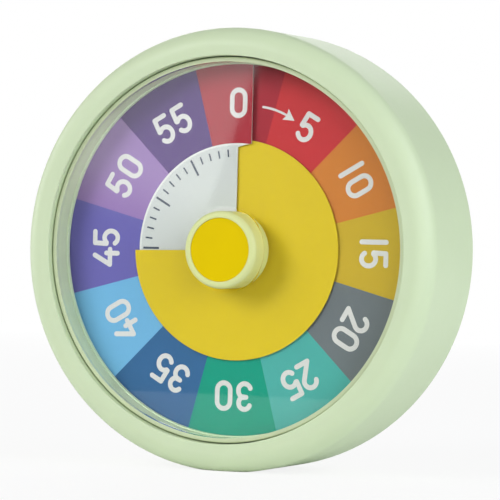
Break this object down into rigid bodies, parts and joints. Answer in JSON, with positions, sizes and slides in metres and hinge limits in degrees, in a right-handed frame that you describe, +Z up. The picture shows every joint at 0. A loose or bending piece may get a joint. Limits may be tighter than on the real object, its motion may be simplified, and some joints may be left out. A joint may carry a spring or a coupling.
{
  "type": "visual countdown timer",
  "caption": "Round standing timer: a centre knob turns a coloured disc through a slit in a printed minute dial under a clear window, with a folding stand behind.",
  "frame": {"origin": "middle of the flat at the bottom of the rim that the timer stands on, halfway through its depth", "axes": "+Z up, -Y out of the dial towards the person who reads it, +X to the reader's right"},
  "size_m": [0.086, 0.0252, 0.0857],
  "materials": {
    "body_green": "moulded, fine satin",
    "knob_green": "moulded, fine satin",
    "clear_lens": "clear moulded plastic, polished",
    "printed_card": "printed plastic sheet, satin",
    "disc_yellow": "printed plastic sheet, satin",
    "cap_yellow": "moulded, satin",
    "inner_plastic": "moulded, matt",
    "gear_nylon": "moulded, matt",
    "movement_plastic": "moulded, matt",
    "brass": "rolled, plain",
    "steel": "ground",
    "motor_iron": "pressed sheet",
    "motor_magnet": "sintered, plain",
    "copper_wire": "enamelled copper wire",
    "screw_steel": "zinc plated",
    "contact_nickel": "nickel plated strip",
    "magnet_nickel": "nickel plated, satin",
    "board_green": "glass-fibre board with solder mask",
    "black_plastic": "moulded, matt",
    "slider_grey": "moulded, satin",
    "battery_sleeve": "plain shrink sleeve"
  },
  "bodies": {
    "housing": {"front_housing": "body_green", "rear_cover": "body_green", "lens": "clear_lens", "dial_card": "printed_card", "dial_plate": "inner_plastic", "coil_bobbin": "inner_plastic", "movement_front": "movement_plastic", "movement_back": "movement_plastic", "shaft_bush": "brass", "alarm_contact": "brass", "stator": "motor_iron", "coil_winding": "copper_wire", "dial_screws": "screw_steel", "movement_screws": "screw_steel", "cover_screws": "screw_steel", "stand_pin": "steel", "quartz_crystal": "steel", "battery_contacts": "contact_nickel", "magnets": "magnet_nickel", "circuit_board": "board_green", "timer_chip": "black_plastic", "switch_body": "black_plastic", "buzzer": "black_plastic", "battery": "battery_sleeve"},
    "setter": {"knob": "knob_green", "knob_cap": "cap_yellow", "centre_shaft": "steel", "disc_hub": "inner_plastic", "alarm_cam": "gear_nylon", "clutch_spring": "brass"},
    "time_disc": {"time_disc": "disc_yellow"},
    "centre_wheel": {"centre_wheel": "brass"},
    "third_wheel": {"third_wheel": "brass"},
    "second_wheel": {"second_wheel": "brass"},
    "first_wheel": {"first_wheel": "gear_nylon"},
    "rotor": {"rotor": "motor_magnet"},
    "volume_slider": {"volume_slider": "slider_grey"},
    "battery_door": {"battery_door": "body_green"},
    "stand": {"stand_leg": "body_green"}
  },
  "joints": [
    {"name": "timer_turn", "type": "hinge", "parent": "housing", "child": "setter", "pos_m": [0, 0, 0.04271], "axis": [0, 1, 0], "range_deg": [-270, 90]},
    {"name": "disc_climb", "type": "slide", "parent": "setter", "child": "time_disc", "axis": [0, -1, 0], "range_m": [-0.00075, 0.00025]},
    {"name": "rotor_turn", "type": "hinge", "parent": "housing", "child": "rotor", "pos_m": [-0.004, 0, 0.02201], "axis": [0, 1, 0], "continuous": true},
    {"name": "first_wheel_turn", "type": "hinge", "parent": "housing", "child": "first_wheel", "pos_m": [-0.00719, 0, 0.02753], "axis": [0, 1, 0], "continuous": true},
    {"name": "second_wheel_turn", "type": "hinge", "parent": "housing", "child": "second_wheel", "pos_m": [-0.00137, 0, 0.03089], "axis": [0, 1, 0], "continuous": true},
    {"name": "third_wheel_turn", "type": "hinge", "parent": "housing", "child": "third_wheel", "pos_m": [0.0054, 0, 0.03335], "axis": [0, 1, 0], "continuous": true},
    {"name": "centre_wheel_turn", "type": "hinge", "parent": "housing", "child": "centre_wheel", "pos_m": [0, 0, 0.04271], "axis": [0, 1, 0], "continuous": true},
    {"name": "stand_fold", "type": "hinge", "parent": "housing", "child": "stand", "pos_m": [0, 0.01065, 0.05332], "axis": [1, 0, 0], "range_deg": [0, 40]},
    {"name": "battery_door_swing", "type": "hinge", "parent": "housing", "child": "battery_door", "pos_m": [0, 0.0115, 0.07162], "axis": [1, 0, 0], "range_deg": [0, 100]},
    {"name": "volume_slide", "type": "slide", "parent": "housing", "child": "volume_slider", "axis": [1, 0, 0], "range_m": [-0.003, 0.003]}
  ],
  "couplings": [
    {"joint": "disc_climb", "follows": "timer_turn", "m_per_rad": 0.00015915},
    {"joint": "first_wheel_turn", "follows": "rotor_turn", "ratio": -0.13333},
    {"joint": "second_wheel_turn", "follows": "rotor_turn", "ratio": 0.022222},
    {"joint": "third_wheel_turn", "follows": "rotor_turn", "ratio": -0.0044444},
    {"joint": "centre_wheel_turn", "follows": "rotor_turn", "ratio": 0.00055556}
  ]
}
